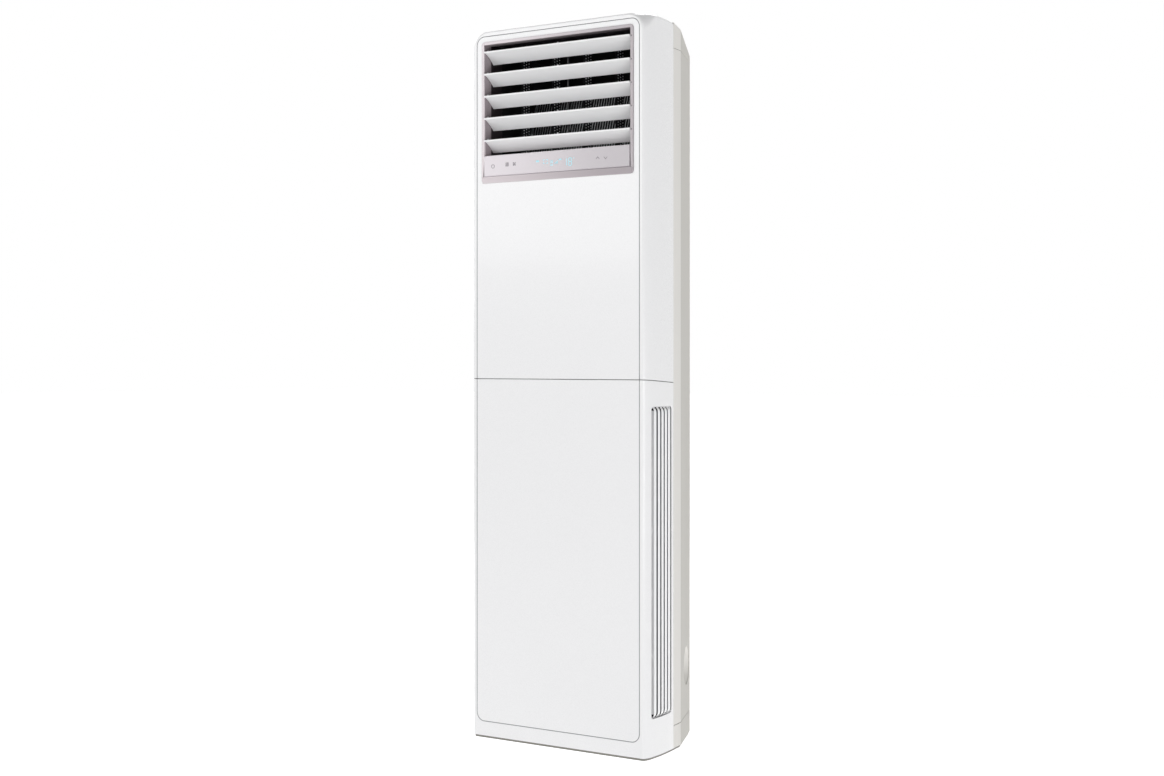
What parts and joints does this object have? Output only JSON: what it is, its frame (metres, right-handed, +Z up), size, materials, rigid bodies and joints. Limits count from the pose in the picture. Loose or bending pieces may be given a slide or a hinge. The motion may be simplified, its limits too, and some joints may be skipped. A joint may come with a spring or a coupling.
{
  "type": "floor standing air conditioner",
  "caption": "Tall floor standing indoor unit with a louvred air outlet at the top, side inlet grilles below and a centrifugal blower inside.",
  "frame": {"origin": "middle of the footprint, on the floor under the base pan", "axes": "+Z up, -Y is the front with the outlet, +X is to the right as one faces the front"},
  "size_m": [0.5428, 0.3586, 1.85],
  "materials": {
    "front_plastic": "smooth white moulded plastic with a soft sheen",
    "grille_plastic": "smooth white moulded plastic",
    "louver_plastic": "smooth white moulded plastic",
    "rear_plastic": "fine textured warm grey plastic",
    "trim_plastic": "rose silver lacquered plastic",
    "panel_gloss": "high gloss rose silver panel",
    "duct_plastic": "dark brown grey plastic",
    "black_foam": "black foam",
    "black_plastic": "black moulded plastic",
    "base_steel": "dark grey painted sheet steel",
    "galvanised": "galvanised sheet steel",
    "motor_steel": "dark painted steel",
    "filter_mesh": "grey woven filter mesh in a plastic frame",
    "fin_aluminium": "thin aluminium fins",
    "copper_pipe": "drawn copper tube",
    "nut_brass": "machined brass",
    "board": "green circuit board",
    "rubber": "moulded rubber"
  },
  "bodies": {
    "cabinet": {"front_panel_upper": "front_plastic", "front_panel_lower": "front_plastic", "side_grille_right": "grille_plastic", "side_grille_left": "grille_plastic", "air_filter_right": "filter_mesh", "air_filter_left": "filter_mesh", "rear_side_right": "rear_plastic", "rear_side_left": "rear_plastic", "hand_hold_cup_right": "rear_plastic", "hand_hold_cup_left": "rear_plastic", "back_panel": "rear_plastic", "rear_base_cover": "rear_plastic", "rear_top_cap": "rear_plastic", "pipe_grommet": "rubber", "base_pan": "base_steel", "frame_post_right": "galvanised", "frame_post_left": "galvanised", "blower_housing": "galvanised", "partition_shelf": "galvanised", "inlet_ring": "black_plastic", "blower_motor": "motor_steel", "outlet_bezel": "trim_plastic", "control_panel": "panel_gloss", "control_board": "board", "outlet_duct": "duct_plastic", "louver_motor": "galvanised", "vane_motor": "galvanised", "evaporator_coil": "fin_aluminium", "coil_plate_right": "galvanised", "coil_plate_left": "galvanised", "drain_pan": "black_plastic", "foam_liner": "black_foam", "gas_pipe": "copper_pipe", "liquid_pipe": "copper_pipe", "gas_flare_nut": "nut_brass", "liquid_flare_nut": "nut_brass", "electrical_box": "galvanised", "electrical_cover": "galvanised"},
    "louver_1": {"louver_1": "louver_plastic"},
    "louver_2": {"louver_2": "louver_plastic"},
    "louver_3": {"louver_3": "louver_plastic"},
    "louver_4": {"louver_4": "louver_plastic"},
    "louver_5": {"louver_5": "louver_plastic"},
    "louver_link": {"louver_link": "black_plastic"},
    "vane_1": {"vane_1": "black_plastic"},
    "vane_2": {"vane_2": "black_plastic"},
    "vane_3": {"vane_3": "black_plastic"},
    "vane_4": {"vane_4": "black_plastic"},
    "vane_link": {"vane_link": "black_plastic"},
    "blower_rotor": {"blower_wheel": "black_plastic", "motor_shaft": "galvanised"}
  },
  "joints": [
    {"name": "louver_1_tilt", "type": "hinge", "parent": "cabinet", "child": "louver_1", "pos_m": [0, -0.16375, 1.799], "axis": [1, 0, 0], "range_deg": [-38, 25]},
    {"name": "louver_2_tilt", "type": "hinge", "parent": "cabinet", "child": "louver_2", "pos_m": [0, -0.16375, 1.7411], "axis": [1, 0, 0], "range_deg": [-38, 25]},
    {"name": "louver_3_tilt", "type": "hinge", "parent": "cabinet", "child": "louver_3", "pos_m": [0, -0.16375, 1.6832], "axis": [1, 0, 0], "range_deg": [-38, 25]},
    {"name": "louver_4_tilt", "type": "hinge", "parent": "cabinet", "child": "louver_4", "pos_m": [0, -0.16375, 1.6253], "axis": [1, 0, 0], "range_deg": [-38, 25]},
    {"name": "louver_5_tilt", "type": "hinge", "parent": "cabinet", "child": "louver_5", "pos_m": [0, -0.16375, 1.5674], "axis": [1, 0, 0], "range_deg": [-38, 25]},
    {"name": "louver_link_pivot", "type": "hinge", "parent": "louver_1", "child": "louver_link", "pos_m": [0, -0.12075, 1.7833], "axis": [1, 0, 0], "range_deg": [-25, 38]},
    {"name": "vane_1_swing", "type": "hinge", "parent": "cabinet", "child": "vane_1", "pos_m": [-0.147, -0.10175, 1.66], "axis": [0, 0, 1], "range_deg": [-35, 35]},
    {"name": "vane_2_swing", "type": "hinge", "parent": "cabinet", "child": "vane_2", "pos_m": [-0.049, -0.10175, 1.66], "axis": [0, 0, 1], "range_deg": [-35, 35]},
    {"name": "vane_3_swing", "type": "hinge", "parent": "cabinet", "child": "vane_3", "pos_m": [0.049, -0.10175, 1.66], "axis": [0, 0, 1], "range_deg": [-35, 35]},
    {"name": "vane_4_swing", "type": "hinge", "parent": "cabinet", "child": "vane_4", "pos_m": [0.147, -0.10175, 1.66], "axis": [0, 0, 1], "range_deg": [-35, 35]},
    {"name": "vane_link_pivot", "type": "hinge", "parent": "vane_1", "child": "vane_link", "pos_m": [-0.147, -0.07175, 1.528], "axis": [0, 0, 1], "range_deg": [-35, 35]},
    {"name": "blower_spin", "type": "hinge", "parent": "cabinet", "child": "blower_rotor", "pos_m": [0, 0.05225, 0.48], "axis": [0, 1, 0], "continuous": true}
  ],
  "couplings": [
    {"joint": "louver_2_tilt", "follows": "louver_1_tilt", "ratio": 1},
    {"joint": "louver_3_tilt", "follows": "louver_1_tilt", "ratio": 1},
    {"joint": "louver_4_tilt", "follows": "louver_1_tilt", "ratio": 1},
    {"joint": "louver_5_tilt", "follows": "louver_1_tilt", "ratio": 1},
    {"joint": "louver_link_pivot", "follows": "louver_1_tilt", "ratio": -1},
    {"joint": "vane_2_swing", "follows": "vane_1_swing", "ratio": 1},
    {"joint": "vane_3_swing", "follows": "vane_1_swing", "ratio": 1},
    {"joint": "vane_4_swing", "follows": "vane_1_swing", "ratio": 1},
    {"joint": "vane_link_pivot", "follows": "vane_1_swing", "ratio": -1}
  ]
}
